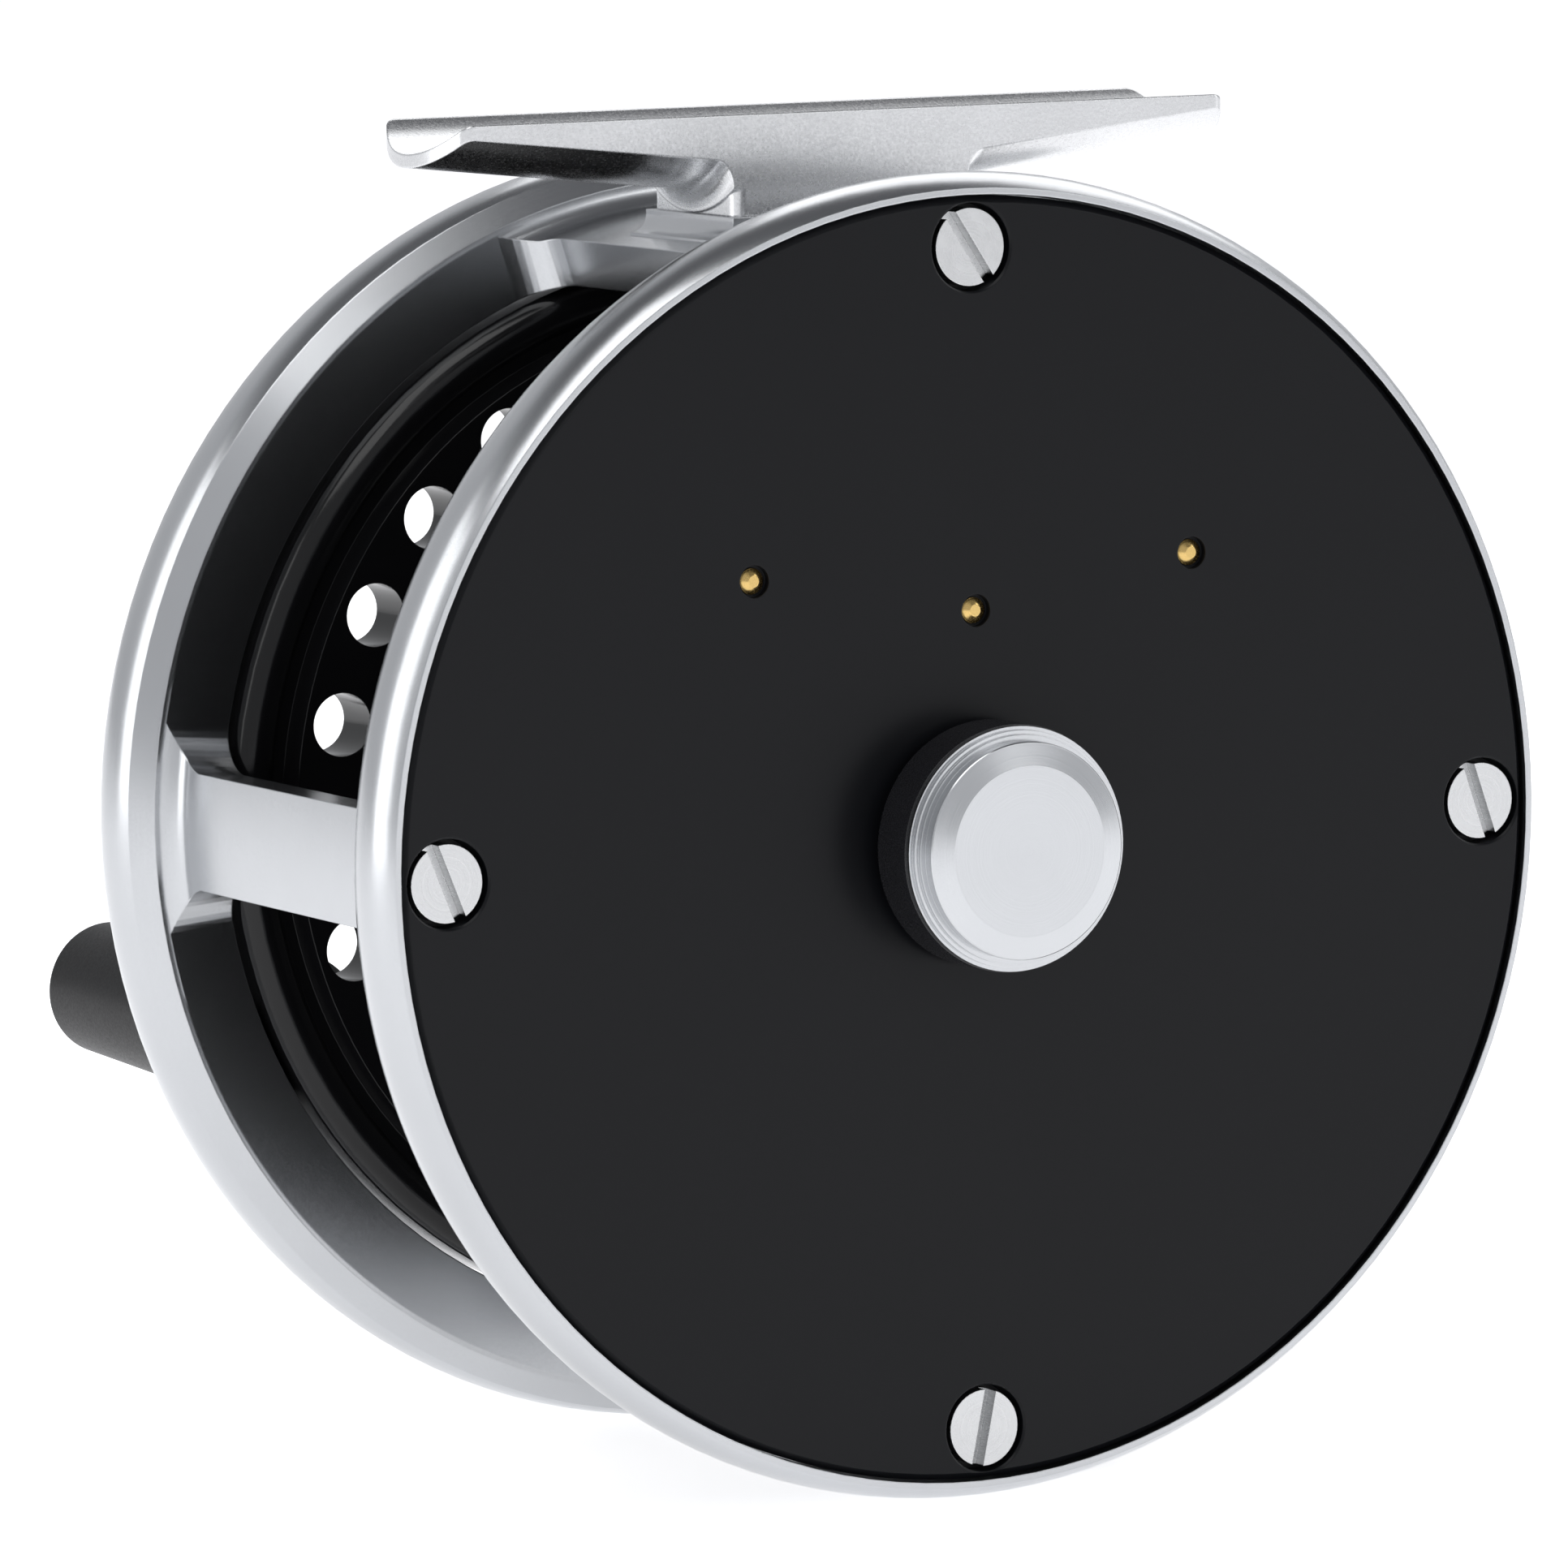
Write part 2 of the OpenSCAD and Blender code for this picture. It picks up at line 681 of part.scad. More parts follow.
// One-piece machined spool
module spool() {
    color("#1d1d1e") on_axis() difference() {
        rotate_extrude() spool_section();
        rod(hub_pocket_r, plate_boss_end - 0.6, near_face + 1);
        for (from = [bearing_u, -bearing_u - bearing_w - 0.2])
            rod(bearing_r + seat_c, from, from + bearing_w + 0.2);
        rod(bearing_r + seat_c, bearing_u, plate_boss_end);
        rod(bearing_r + seat_c, hub_end - 1, -bearing_u);
        tube(cork_r[1] + seat_c, cork_r[0] - seat_c, cork_u[0], near_face + 1);
        for (k = [0 : flange_holes - 1]) if (is_open(hole_phase + k * hole_step))
            polar(hole_circle_r, hole_phase + k * hole_step)
                rod(flange_hole_d / 2, far_web - 1, web_rise - web_u + 1);
        for (k = [0.5 : 7.5]) polar(vent_circle_r, 45 * k) rod(vent_r, far_web - 1, -web_u + 1);
        polar(handle_r, handle_angle) rod(post_r - 0.5 + seat_c, rim_end - 2, -web_u - 1);
        for (side = [-1, 1]) polar(handle_r - 2, handle_angle + 180 + side * weight_screw_angle)
            rod(weight_screw_r + run_c, rim_end - 1, -web_u - 0.8);
        for (k = [0 : 3]) polar(gear_screw_circle, 45 + 90 * k)
            rod(gear_screw_r + run_c, near_face - 3, near_face + 1);
    }
    color("#1d1d1e") on_axis() polar(handle_r, handle_angle) difference() {
        rod(post_boss_r, post_seat, far_web + eps);
        rod(post_r - 0.5 + seat_c, post_seat - 1, far_web + 1);
    }
}

// True where a hole leaves room for the handle's post and the counterweight
function is_open(a) = abs(turn_between(a, handle_angle)) > hole_skip
    && abs(turn_between(a, handle_angle + 180)) > weight_skip;
function turn_between(a, b) = (a - b + 900) % 360 - 180;

// Cork ring bonded in the spool that rubs on the back plate's track
module drag_cork() {
    color("#a9794a") on_axis() tube(cork_r[1], cork_r[0], cork_u[0], cork_u[1]);
}

// Toothed click gear on the spool's drag side
module click_gear() {
    tooth_w = 2 * PI * gear_root_r / gear_teeth * 0.52;
    color("#c9a25a") on_axis() difference() {
        union() {
            rod(gear_root_r, gear_u[0], gear_u[1]);
            for (k = [0 : gear_teeth - 1]) rotate([0, 0, k * 360 / gear_teeth])
                translate([0, 0, gear_u[0]]) linear_extrude(gear_u[1] - gear_u[0])
                    polygon([[gear_root_r - 0.5, -tooth_w / 2], [gear_tip_r, -tooth_w / 5],
                             [gear_tip_r, tooth_w / 5], [gear_root_r - 0.5, tooth_w / 2]]);
        }
        rod(gear_in_r, gear_u[0] - 1, gear_u[1] + 1);
        for (k = [0 : 3]) polar(gear_screw_circle, 45 + 90 * k) {
            rod(0.75, gear_u[0] - 1, gear_u[1] + 1);
            rod(1.25, gear_u[1] - 0.8, gear_u[1] + 1);
        }
    }
}

// Four small screws that hold the click gear
module gear_screws() {
    color("#9c9da0") on_axis() for (k = [0 : 3]) polar(gear_screw_circle, 45 + 90 * k)
        translate([0, 0, gear_u[1] - 0.1])
            slotted_screw(1.15, 0.65, gear_screw_r, 4.2, 0.3, 30 * k);
}

// Two sealed ball bearings in the spool's hub
module spool_bearings() {
    color("#b5b7b9") on_axis() for (from = [bearing_u, -bearing_u - bearing_w]) difference() {
        tube(bearing_r, spindle_r + 0.03, from, from + bearing_w);
        for (end = [from - 1, from + bearing_w - 0.25])
            tube(bearing_r - 0.9, spindle_r + 1, end, end + 1.25);
    }
}

// Tube that keeps the two bearings apart
module bearing_spacer() {
    color("#b5b7b9") on_axis()
        tube(hub_bore_r - seat_c, spindle_r + 0.4, seat_c - bearing_u, bearing_u - seat_c);
}

// Curved weight on the crank side opposite the handle
module counterweight() {
    half = 13;
    weight_out = rim_in - 0.3;
    weight_in = hole_circle_r - 2.3;
    color("#c9cbcd") on_axis() rotate([0, 0, handle_angle + 180]) difference() {
        rotate([0, 0, -half]) rotate_extrude(angle = 2 * half)
            translate([weight_in, rim_end + 0.3])
                square([weight_out - weight_in, far_web - rim_end - 0.3 - seat_c]);
        for (side = [-1, 1]) polar(handle_r - 2, side * weight_screw_angle) {
            rod(1, rim_end - 1, far_web + 1);
            rod(1.8, rim_end - 1, rim_end + 1.5);
        }
    }
}

// Two screws through the counterweight into the spool
module counterweight_screws() {
    color("#9c9da0") on_axis() for (side = [-1, 1])
        polar(handle_r - 2, handle_angle + 180 + side * weight_screw_angle)
            translate([0, 0, rim_end + 0.45]) mirror([0, 0, 1])
                slotted_screw(1.65, 1, weight_screw_r, 5.4, 0.45, 40 * side);
}

// Shouldered steel post that the handle turns on
module handle_post() {
    color("#b5b7b9") on_axis() polar(handle_r, handle_angle) {
        rod(post_r - 0.5, post_seat - eps, -web_u - 1.2);
        rod(4, handle_start + 0.12, post_seat);
        rod(post_r, post_end + 0.9, handle_start + 0.12 + eps);
        rod(post_r - 0.6, post_end, post_end + 0.9 + eps);
    }
}

// Retaining ring on the end of the post, inside the handle
module post_clip() {
    color("#9c9da0") on_axis() polar(handle_r, handle_angle)
        tube(post_r + 0.7, post_r - 0.6 + seat_c, post_end + 0.2, post_end + 0.8);
}

// Tapered handle with a domed end
module handle_knob() {
    base_r = handle_base_d / 2;
    tip_r = handle_tip_d / 2;
    flat = handle_l - 3.2;
    color("#1b1b1c") on_axis() polar(handle_r, handle_angle) translate([0, 0, handle_start])
        mirror([0, 0, 1]) difference() {
            union() {
                cylinder(r1 = base_r - 0.5, r2 = base_r, h = 0.5 + eps);
                translate([0, 0, 0.5]) cylinder(r1 = base_r, r2 = tip_r, h = flat - 0.5);
                intersection() {
                    translate([0, 0, handle_l - handle_dome_r]) sphere(r = handle_dome_r);
                    translate([0, 0, flat - eps]) cylinder(r1 = tip_r, r2 = 0.8, h = handle_l - flat + 1.3);
                }
            }
            rod(bush_r + seat_c, -1, handle_start - handle_bore_end);
        }
}

// Two bronze bushings pressed in the handle
module handle_bushings() {
    color("#b08d57") on_axis() polar(handle_r, handle_angle)
        for (from = [handle_start - bush_l, post_end + 1.2])
            tube(bush_r, post_r + run_c, from, from + bush_l);
}

// Pointed pawl that rides on the tips of the click gear
module click_pawl() {
    hub = 2.2;
    color("#9c9da0") on_axis() translate([0, pawl_post_y, pawl_u[0]]) difference() {
        linear_extrude(pawl_u[1] - pawl_u[0]) {
            polygon([[-hub, -0.4], [-0.35, -pawl_tip], [0.35, -pawl_tip], [hub, -0.4],
                     [2.4, pawl_top - 0.1], [-2.4, pawl_top - 0.1]]);
            circle(r = 2.1);
        }
        rod(post_d / 2 + run_c, -1, 3);
    }
}

frame_cage();
back_plate();
plate_screws();
reel_foot();
foot_screws();
spindle_bushing();
pawl_post();
spring_posts();
click_spring();
thrust_springs();
detent_spring();
detent_ball();
drag_knob();
knob_cap();
knob_nut();
cap_screws();
spindle();
spindle_key();
spool_lock_nut();
thrust_washer();
spool();
drag_cork();
click_gear();
gear_screws();
spool_bearings();
bearing_spacer();
counterweight();
counterweight_screws();
handle_post();
post_clip();
handle_knob();
handle_bushings();
click_pawl();
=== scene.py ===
import math

import bmesh
import bpy
from mathutils import Matrix, Vector


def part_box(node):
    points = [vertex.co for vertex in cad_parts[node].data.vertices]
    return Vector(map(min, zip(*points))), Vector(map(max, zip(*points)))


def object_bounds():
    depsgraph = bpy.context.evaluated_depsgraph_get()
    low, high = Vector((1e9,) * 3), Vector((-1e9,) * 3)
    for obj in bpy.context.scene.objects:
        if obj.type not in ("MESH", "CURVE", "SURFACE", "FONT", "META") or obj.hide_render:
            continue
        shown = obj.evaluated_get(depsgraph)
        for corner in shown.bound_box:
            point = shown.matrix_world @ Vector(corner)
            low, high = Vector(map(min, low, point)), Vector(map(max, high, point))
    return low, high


MM = 0.001

# Camera: where it stands in metres and how it is turned, in degrees
CAMERA_AT = (-0.3844, -0.6977, 0.0437)
CAMERA_AZIMUTH = -28.669
CAMERA_ELEVATION = 6.615
CAMERA_ROLL = -0.812
CAMERA_LENS_MM = 244.64
CAMERA_SENSOR_MM = 36.0
CAMERA_NEAR = 0.01

# Points closer than this many metres are joined, and edges sharper than this many degrees stay sharp
JOIN_DISTANCE = 0.0002 * MM
SHARP_ANGLE = 13.0

# A pale floor that glows a little, with faint clouds in its tone (sizes in metres)
FLOOR_RADIUS = 8.0
FLOOR_SIDES = 96
FLOOR_COLOUR = (0.86, 0.86, 0.87)
FLOOR_GLOW = 0.80
FLOOR_CLOUD = 0.08
FLOOR_TONE = 0.01
FLOOR_ROUGH = (0.75, 0.85)
FLOOR_SPECULAR = 0.1

# The light that comes from all round: a bright sweep up to a height, then a dim studio above.
# The heights are those of a direction one unit long.
WORLD_LOW = (0.64, 0.65, 0.67)
WORLD_HIGH = (0.13, 0.133, 0.142)
SWEEP_FULL = 0.55
SWEEP_END = 0.88

# Soft boxes: name, azimuth and elevation (degrees), distance, width and height (metres), watts
SOFT_BOXES = [
    ("top_box", -60.0, 66.0, 0.75, 0.50, 0.50, 2.0),
    ("left_box", -108.0, 16.0, 0.80, 0.40, 0.70, 1.6),
    ("right_box", 75.0, 25.0, 0.90, 0.25, 0.70, 1.2),
    ("front_box", 33.0, 31.0, 0.90, 0.45, 0.30, 0.7),
    ("back_box", 141.0, 38.0, 0.80, 0.50, 0.40, 0.9),
]

# Which finish each CAD node gets
FINISH_OF = {
    "cage_silver": ["frame_cage"],
    "foot_silver": ["reel_foot"],
    "cap_silver": ["knob_cap"],
    "plate_black": ["back_plate"],
    "knob_black": ["drag_knob"],
    "spool_black": ["spool"],
    "plate_screw_steel": ["plate_screws"],
    "screw_steel": ["foot_screws", "cap_screws", "gear_screws", "counterweight_screws", "spindle",
                    "spindle_key", "spool_lock_nut", "counterweight", "handle_post"],
    "spring_steel": ["click_spring", "thrust_springs", "detent_spring", "post_clip", "detent_ball"],
    "bearing_steel": ["spool_bearings", "bearing_spacer"],
    "brass": ["pawl_post", "spring_posts", "knob_nut"],
    "bronze": ["spindle_bushing", "thrust_washer", "click_gear", "click_pawl", "handle_bushings"],
    "cork": ["drag_cork"],
    "handle_black": ["handle_knob"],
}

# How metallic bare metal and a black coating are
METAL = 1.0
COATED = 0.0

# The finishes that surface() makes. rough_spread is how far the roughness strays, grain the size of
# the fine grain, relief its depth and edge the radius of the broken edges, all in metres. tone is how
# far the colour strays. A turned finish has fine lines about the reel's axis.
FINISHES = {
    "cage_silver": dict(colour=(0.50, 0.51, 0.525), metallic=METAL, rough=0.23, rough_spread=0.02,
                        grain=0.14 * MM, relief=0.0004 * MM, edge=0.15 * MM,
                        turned=True, turned_relief=0.00003 * MM),
    "foot_silver": dict(colour=(0.68, 0.685, 0.695), metallic=METAL, rough=0.24, rough_spread=0.06,
                        grain=0.22 * MM, relief=0.006 * MM, edge=0.2 * MM, tone=0.12),
    "cap_silver": dict(colour=(0.54, 0.55, 0.565), metallic=METAL, rough=0.22, rough_spread=0.02,
                       grain=0.1 * MM, relief=0.0004 * MM, edge=0.04 * MM,
                       turned=True, turned_relief=0.0006 * MM, turned_size=0.12 * MM,
                       turned_gloss=0.04),
    "plate_black": dict(colour=(0.0036, 0.0039, 0.0050), metallic=COATED, rough=0.32,
                        rough_spread=0.04, grain=0.14 * MM, relief=0.001 * MM, edge=0.12 * MM,
                        tone=0.12, specular=0.17),
    "knob_black": dict(colour=(0.012, 0.012, 0.014), metallic=COATED, rough=0.26, rough_spread=0.04,
                       grain=0.12 * MM, relief=0.0015 * MM, edge=0.1 * MM),
    "spool_black": dict(colour=(0.004, 0.004, 0.0045), metallic=COATED, rough=0.16,
                        rough_spread=0.03, grain=0.2 * MM, relief=0.0008 * MM, edge=0.12 * MM,
                        specular=0.3, turned=True, turned_relief=0.0001 * MM),
    "screw_steel": dict(colour=(0.54, 0.54, 0.545), metallic=METAL, rough=0.28, rough_spread=0.05,
                        grain=0.15 * MM, relief=0.002 * MM, edge=0.08 * MM, tone=0.1),
    "spring_steel": dict(colour=(0.4, 0.405, 0.415), metallic=METAL, rough=0.32, rough_spread=0.06,
                         grain=0.1 * MM, relief=0.002 * MM, edge=0.03 * MM),
    "bearing_steel": dict(colour=(0.56, 0.56, 0.57), metallic=METAL, rough=0.15, rough_spread=0.03,
                          grain=0.1 * MM, relief=0.0008 * MM, edge=0.1 * MM,
                          turned=True, turned_relief=0.001 * MM),
    "brass": dict(colour=(0.66, 0.46, 0.17), metallic=METAL, rough=0.24, rough_spread=0.05,
                  grain=0.1 * MM, relief=0.002 * MM, edge=0.08 * MM, tone=0.12),
    "bronze": dict(colour=(0.5, 0.3, 0.15), metallic=METAL, rough=0.33, rough_spread=0.06,
                   grain=0.12 * MM, relief=0.002 * MM, edge=0.06 * MM, tone=0.12,
                   turned=True, turned_relief=0.001 * MM),
    "handle_black": dict(colour=(0.0045, 0.0045, 0.005), metallic=COATED, rough=0.4,
                         rough_spread=0.06, grain=0.2 * MM, relief=0.004 * MM, edge=0.2 * MM,
                         tone=0.15, specular=0.12),
}

# Size of the slow changes of tone, the most that the fine grain darkens it, and how many rays look
# for an edge to round
SLOW_TONE = 9 * MM
GRAIN_SHARE = 0.5
EDGE_SAMPLES = 6

# Where the middle of a noise lies
NOISE_LOW, NOISE_HIGH = 0.3, 0.7

# The plate screws: radius of a head, turned lines, smudges, the two tones they mix, and roughness
PLATE_SCREW_HEAD_R = 2.85 * MM
SCREW_LINES = 0.18 * MM
SCREW_SMUDGE = 1.2 * MM
SCREW_DARK = (0.50, 0.505, 0.51)
SCREW_LIGHT = (0.64, 0.645, 0.65)
SCREW_LINE_ROUGH = (0.2, 0.34)
SCREW_SMUDGE_ROUGH = (-0.04, 0.06)
SCREW_RELIEF = 0.004 * MM
SCREW_EDGE = 0.08 * MM

# The cork disc: granules and the seams between them
CORK_GRANULE = 1.1 * MM
CORK_DARK = (0.42, 0.25, 0.13)
CORK_LIGHT = (0.62, 0.42, 0.24)
CORK_SEAM_COLOUR = (0.13, 0.07, 0.04)
CORK_SEAM_SHARE = 0.08
CORK_PORE = 0.3 * MM
CORK_ROUGH = (0.7, 0.95)
CORK_RELIEF = 0.05 * MM
CORK_EDGE = 0.1 * MM


# ---- node building --------------------------------------------------------------------------

def new_material(name):
    """An empty node material: (material, its tree, its Principled shader)."""
    material = bpy.data.materials.new(name)
    material.use_nodes = True
    tree = material.node_tree
    return material, tree, tree.nodes["Principled BSDF"]


def put(tree, kind, inputs=None, **settings):
    """Adds a node. inputs maps a socket's name or index to a value or to an output to link."""
    node = tree.nodes.new(kind)
    for key, value in settings.items():
        setattr(node, key, value)
    for key, value in (inputs or {}).items():
        if isinstance(value, bpy.types.NodeSocket):
            tree.links.new(value, node.inputs[key])
        else:
            node.inputs[key].default_value = value
    return node


def maths(tree, operation, a, b=0.0):
    """The output of one Math node."""
    return put(tree, "ShaderNodeMath", {0: a, 1: b}, operation=operation).outputs[0]


def place(tree):
    """The point on the piece, in metres, in the frame the piece has at rest."""
    return put(tree, "ShaderNodeTexCoord").outputs["Object"]


def distance_to_axis(tree, point, centre):
    """How far the point is from a line along Y through the centre."""
    offset = put(tree, "ShaderNodeVectorMath", {0: point, 1: centre}, operation="SUBTRACT").outputs[0]
    flat = put(tree, "ShaderNodeVectorMath", {0: offset, 1: (1.0, 0.0, 1.0)},
               operation="MULTIPLY").outputs[0]
    return put(tree, "ShaderNodeVectorMath", {0: flat}, operation="LENGTH").outputs["Value"]


def lathe_point(tree, centre):
    """A point that is the same all the way round the axis, so noise on it makes turning lines."""
    point = place(tree)
    along = put(tree, "ShaderNodeSeparateXYZ", {0: point}).outputs["Y"]
    radius = distance_to_axis(tree, point, centre)
    return put(tree, "ShaderNodeCombineXYZ", {"X": radius, "Y": along}).outputs[0]


def noise(tree, vector, size, detail=3.0):
    """Noise whose features are about size across, in metres."""
    return put(tree, "ShaderNodeTexNoise", {"Vector": vector, "Scale": 1.0 / size, "Detail": detail},
               normalize=True).outputs["Fac"]


def spread(tree, value, low, high):
    """Maps the middle of a noise to the span from low to high."""
    return put(tree, "ShaderNodeMapRange", {"Value": value,
                                            "From Min": NOISE_LOW, "From Max": NOISE_HIGH,
                                            "To Min": low, "To Max": high}).outputs["Result"]


def smooth_step(tree, value, start, end):
    """0 before start, 1 after end, and an even turn between them."""
    return put(tree, "ShaderNodeMapRange", {"Value": value, "From Min": start, "From Max": end},
               interpolation_type="SMOOTHSTEP").outputs["Result"]


def blend_colours(tree, share, first, second):
    """Mixes two colours or colour outputs by share."""
    mix = put(tree, "ShaderNodeMix", data_type="RGBA")
    for key, value in (("Factor", share), ("A", first), ("B", second)):
        socket = [s for s in mix.inputs if s.name == key and s.enabled][0]
        if isinstance(value, bpy.types.NodeSocket):
            tree.links.new(value, socket)
        else:
            socket.default_value = value
    return [s for s in mix.outputs if s.enabled][0]


def rounded_bump(tree, height, depth, edge):
    """A normal with softly broken edges and the given relief, both in metres."""
    edge_normal = put(tree, "ShaderNodeBevel", {"Radius": edge}, samples=EDGE_SAMPLES).outputs[0]
    return put(tree, "ShaderNodeBump", {"Strength": 1.0, "Distance": depth, "Height": height,
                                        "Normal": edge_normal}).outputs[0]


def rgba(colour, gain=1.0):
    """A colour with alpha, made lighter or darker by gain."""
    return tuple(min(c * gain, 1.0) for c in colour) + (1.0,)


# ---- finishes ---------------------------------------------------------------------------------

def surface(name, axis, colour, metallic, rough, rough_spread, grain, relief, edge, tone=0.06,
            specular=0.5, turned=False, turned_relief=0.0, turned_size=0.15 * MM,
            turned_gloss=0.01):
    """The finish most pieces share: tone and gloss that vary slowly, fine grain and turning lines.

    axis is a point on the axis along Y round which a turned piece was turned. The rest is said
    above FINISHES."""
    material, tree, shader = new_material(name)
    point = place(tree)
    slow = noise(tree, point, SLOW_TONE)
    fine = noise(tree, point, grain, detail=4.0)
    mixed = blend_colours(tree, slow, rgba(colour, 1 - tone), rgba(colour, 1 + tone))
    speckled = blend_colours(tree, spread(tree, fine, 0.0, GRAIN_SHARE), mixed, rgba(colour, 1 - tone))
    tree.links.new(speckled, shader.inputs["Base Color"])
    gloss = spread(tree, fine, rough - rough_spread, rough + rough_spread)
    height = fine
    if turned:
        lines = noise(tree, lathe_point(tree, axis), turned_size)
        gloss = maths(tree, "ADD", gloss, spread(tree, lines, -turned_gloss, turned_gloss))
        weight = turned_relief / relief
        height = maths(tree, "ADD", fine, maths(tree, "MULTIPLY", lines, weight))
    tree.links.new(gloss, shader.inputs["Roughness"])
    tree.links.new(rounded_bump(tree, height, relief, edge), shader.inputs["Normal"])
    shader.inputs["Metallic"].default_value = metallic
    shader.inputs["Specular IOR Level"].default_value = specular
    return material


def plate_screw_steel(centre, ring_r):
    """Steel screws with faces turned about each screw's own axis, on a ring of four."""
    material, tree, shader = new_material("plate_screw_steel")
    point = place(tree)
    offset = put(tree, "ShaderNodeVectorMath", {0: point, 1: centre}, operation="SUBTRACT").outputs[0]
    split = put(tree, "ShaderNodeSeparateXYZ", {0: offset})
    across = maths(tree, "ABSOLUTE", split.outputs["X"])
    up = maths(tree, "ABSOLUTE", split.outputs["Z"])
    outer = maths(tree, "SUBTRACT", maths(tree, "MAXIMUM", across, up), ring_r)
    inner = maths(tree, "MINIMUM", across, up)
    from_screw = put(tree, "ShaderNodeCombineXYZ", {"X": outer, "Y": inner}).outputs[0]
    radius = put(tree, "ShaderNodeVectorMath", {0: from_screw}, operation="LENGTH").outputs["Value"]
    ringed = put(tree, "ShaderNodeCombineXYZ", {"X": radius}).outputs[0]
    lines = noise(tree, ringed, SCREW_LINES)
    smudge = noise(tree, point, SCREW_SMUDGE, detail=4.0)
    tone = blend_colours(tree, smudge, rgba(SCREW_DARK), rgba(SCREW_LIGHT))
    tree.links.new(tone, shader.inputs["Base Color"])
    gloss = maths(tree, "ADD", spread(tree, lines, *SCREW_LINE_ROUGH),
                  spread(tree, smudge, *SCREW_SMUDGE_ROUGH))
    tree.links.new(gloss, shader.inputs["Roughness"])
    tree.links.new(rounded_bump(tree, lines, SCREW_RELIEF, SCREW_EDGE), shader.inputs["Normal"])
    shader.inputs["Metallic"].default_value = METAL
    return material


def cork():
    """Ground cork pressed in a binder: light granules with dark seams."""
    material, tree, shader = new_material("cork")
    point = place(tree)
    cells = {"Vector": point, "Scale": 1 / CORK_GRANULE}
    granules = put(tree, "ShaderNodeTexVoronoi", cells)
    seams = put(tree, "ShaderNodeTexVoronoi", cells, feature="DISTANCE_TO_EDGE").outputs["Distance"]
    shade = put(tree, "ShaderNodeSeparateColor", {0: granules.outputs["Color"]}).outputs[0]
    grains = blend_colours(tree, shade, rgba(CORK_DARK), rgba(CORK_LIGHT))
    seam = put(tree, "ShaderNodeMapRange", {"Value": seams,
                                            "From Max": CORK_SEAM_SHARE}).outputs["Result"]
    tone = blend_colours(tree, seam, rgba(CORK_SEAM_COLOUR), grains)
    tree.links.new(tone, shader.inputs["Base Color"])
    pores = noise(tree, point, CORK_PORE, detail=4.0)
    tree.links.new(spread(tree, pores, *CORK_ROUGH), shader.inputs["Roughness"])
    tree.links.new(rounded_bump(tree, pores, CORK_RELIEF, CORK_EDGE), shader.inputs["Normal"])
    return material


def finishes(axis):
    """Every finish by name. axis is a point on the reel's axis."""
    low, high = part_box("plate_screws")
    screw_ring_r = (high.x - low.x) / 2 - PLATE_SCREW_HEAD_R
    made = {name: surface(name, axis, **look) for name, look in FINISHES.items()}
    made["plate_screw_steel"] = plate_screw_steel(axis, screw_ring_r)
    made["cork"] = cork()
    return made


def smoothing():
    """A node group that joins a mesh's faces and shades it smooth, apart from its true edges."""
    group = bpy.data.node_groups.new("smooth_between_edges", "GeometryNodeTree")
    group.interface.new_socket("Geometry", in_out="INPUT", socket_type="NodeSocketGeometry")
    group.interface.new_socket("Geometry", in_out="OUTPUT", socket_type="NodeSocketGeometry")
    entry = group.nodes.new("NodeGroupInput").outputs[0]
    bare = put(group, "GeometryNodeRemoveAttribute", {"Geometry": entry, "Name": "custom_normal"})
    joined = put(group, "GeometryNodeMergeByDistance", {"Geometry": bare.outputs[0],
                                                        "Distance": JOIN_DISTANCE})
    faces = put(group, "GeometryNodeSetShadeSmooth", {"Geometry": joined.outputs[0]}, domain="FACE")
    angle = put(group, "GeometryNodeInputMeshEdgeAngle").outputs["Unsigned Angle"]
    flat_enough = put(group, "FunctionNodeCompare", {0: angle, 1: math.radians(SHARP_ANGLE)},
                      operation="LESS_THAN").outputs[0]
    edges = put(group, "GeometryNodeSetShadeSmooth", {"Geometry": faces.outputs[0],
                                                      "Shade Smooth": flat_enough}, domain="EDGE")
    exit_node = group.nodes.new("NodeGroupOutput")
    group.links.new(edges.outputs[0], exit_node.inputs[0])
    return group


def dress(node, material, smooth_group):
    """Gives a CAD node its finish and smooth shading between its true edges."""
    node.data.materials.clear()
    node.data.materials.append(material)
    for polygon in node.data.polygons:
        polygon.material_index = 0
    node.modifiers.new("smooth", "NODES").node_group = smooth_group
    weighted = node.modifiers.new("even_normals", "WEIGHTED_NORMAL")
    weighted.keep_sharp = True


# ---- stage ------------------------------------------------------------------------------------

def direction(azimuth, elevation):
    """The direction one unit long with this azimuth from -Y and this elevation, in degrees."""
    a = math.radians(azimuth)
    e = math.radians(elevation)
    return Vector((math.sin(a) * math.cos(e), -math.cos(a) * math.cos(e), math.sin(e)))


def make_camera():
    """The camera, turned by its azimuth, elevation and roll."""
    azimuth = math.radians(CAMERA_AZIMUTH)
    back = direction(CAMERA_AZIMUTH, CAMERA_ELEVATION)
    right = Vector((math.cos(azimuth), math.sin(azimuth), 0.0))
    level = Matrix((right, back.cross(right), back)).transposed()
    roll = Matrix.Rotation(math.radians(CAMERA_ROLL), 3, "Z")
    data = bpy.data.cameras.new("camera")
    data.sensor_width = CAMERA_SENSOR_MM
    data.lens = CAMERA_LENS_MM
    data.clip_start = CAMERA_NEAR
    data.clip_end = 4 * FLOOR_RADIUS
    camera = bpy.data.objects.new("camera", data)
    bpy.context.scene.collection.objects.link(camera)
    camera.matrix_world = Matrix.Translation(CAMERA_AT) @ (level @ roll).to_4x4()
    bpy.context.scene.camera = camera


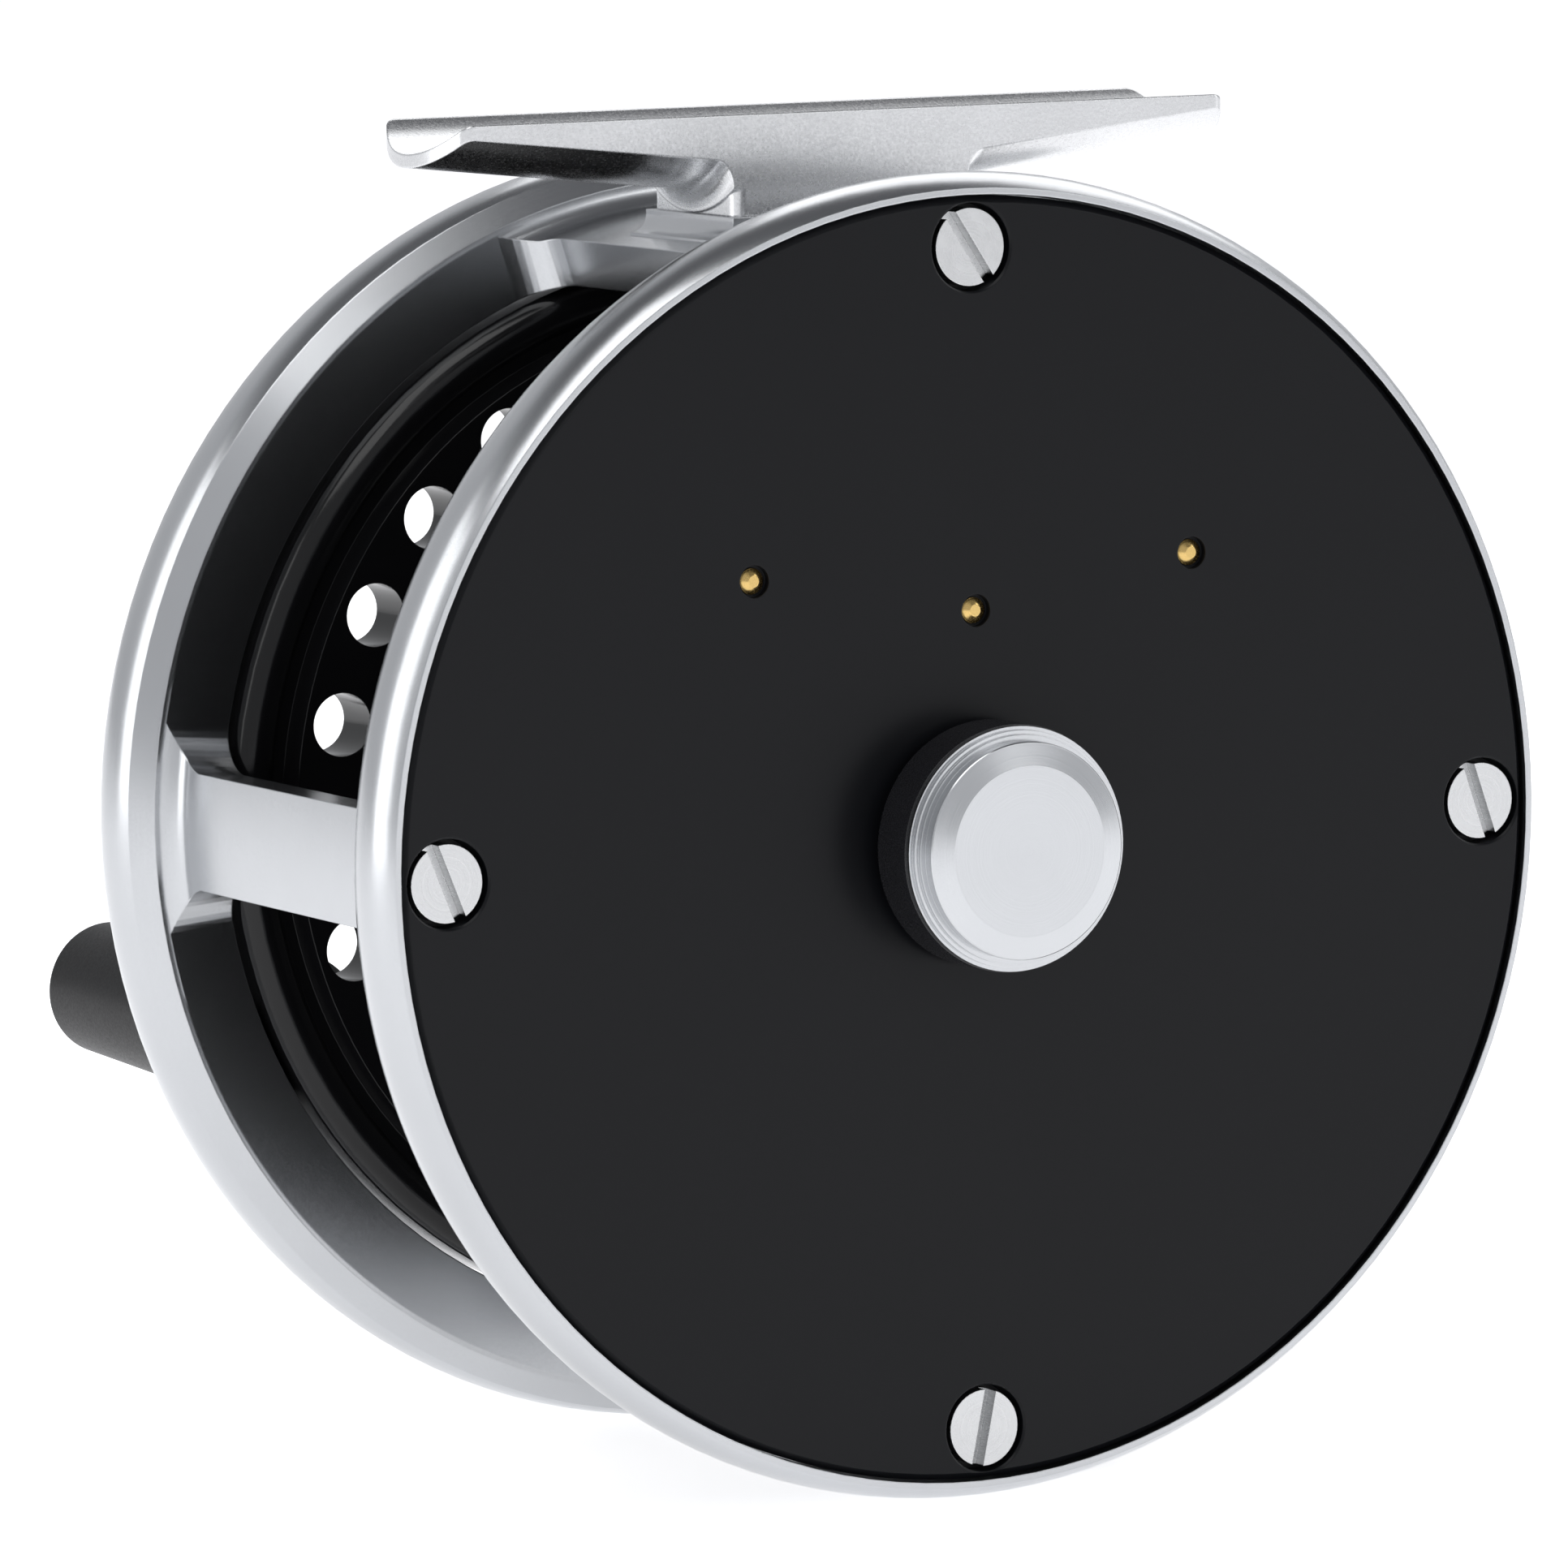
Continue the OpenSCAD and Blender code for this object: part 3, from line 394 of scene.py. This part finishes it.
def make_floor(height):
    """A wide pale disc at the reel's lowest point."""
    material, tree, shader = new_material("floor_pale")
    cloud = noise(tree, place(tree), FLOOR_CLOUD)
    tone = blend_colours(tree, cloud, rgba(FLOOR_COLOUR, 1 - FLOOR_TONE),
                         rgba(FLOOR_COLOUR, 1 + FLOOR_TONE))
    tree.links.new(tone, shader.inputs["Base Color"])
    tree.links.new(spread(tree, cloud, *FLOOR_ROUGH), shader.inputs["Roughness"])
    shader.inputs["Specular IOR Level"].default_value = FLOOR_SPECULAR
    shader.inputs["Emission Color"].default_value = rgba(FLOOR_COLOUR)
    shader.inputs["Emission Strength"].default_value = FLOOR_GLOW
    mesh = bpy.data.meshes.new("floor")
    shape = bmesh.new()
    bmesh.ops.create_circle(shape, cap_ends=True, segments=FLOOR_SIDES, radius=FLOOR_RADIUS)
    shape.to_mesh(mesh)
    shape.free()
    mesh.materials.append(material)
    floor = bpy.data.objects.new("floor", mesh)
    floor.location = (0.0, 0.0, height)
    bpy.context.scene.collection.objects.link(floor)


def make_world():
    """Soft light from everywhere, bright up to the sweep's edge and dim above it."""
    world = bpy.data.worlds.new("studio")
    world.use_nodes = True
    tree = world.node_tree
    view_ray = put(tree, "ShaderNodeTexCoord").outputs["Generated"]
    split = put(tree, "ShaderNodeSeparateXYZ", {0: view_ray})
    raised = smooth_step(tree, split.outputs["Z"], SWEEP_FULL, SWEEP_END)
    light = blend_colours(tree, raised, rgba(WORLD_LOW), rgba(WORLD_HIGH))
    tree.links.new(light, tree.nodes["Background"].inputs["Color"])
    bpy.context.scene.world = world


def make_soft_box(name, azimuth, elevation, distance, width, height, watts, target):
    """A rectangular soft light aimed at the target from the given direction."""
    away = direction(azimuth, elevation)
    data = bpy.data.lights.new(name, "AREA")
    data.shape = "RECTANGLE"
    data.size = width
    data.size_y = height
    data.energy = watts
    light = bpy.data.objects.new(name, data)
    light.location = target + away * distance
    light.rotation_mode = "QUATERNION"
    light.rotation_quaternion = away.to_track_quat("Z", "Y")
    bpy.context.scene.collection.objects.link(light)


# ---- the scene --------------------------------------------------------------------------------

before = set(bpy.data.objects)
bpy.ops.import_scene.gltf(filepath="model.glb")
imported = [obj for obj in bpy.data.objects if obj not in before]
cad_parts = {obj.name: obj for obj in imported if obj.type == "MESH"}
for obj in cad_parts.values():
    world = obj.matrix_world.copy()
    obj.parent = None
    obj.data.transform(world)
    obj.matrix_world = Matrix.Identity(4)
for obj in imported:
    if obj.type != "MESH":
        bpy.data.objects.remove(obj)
cad_low, cad_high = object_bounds()
make_camera()

knob_low, knob_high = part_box("knob_cap")
reel_axis = (knob_low + knob_high) / 2
material_of = finishes(reel_axis)
smooth_group = smoothing()
for finish, names in FINISH_OF.items():
    for node_name in names:
        dress(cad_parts[node_name], material_of[finish], smooth_group)

make_floor(cad_low.z)
make_world()
for box_values in SOFT_BOXES:
    make_soft_box(*box_values, target=reel_axis)
bpy.context.scene.view_settings.view_transform = "Standard"
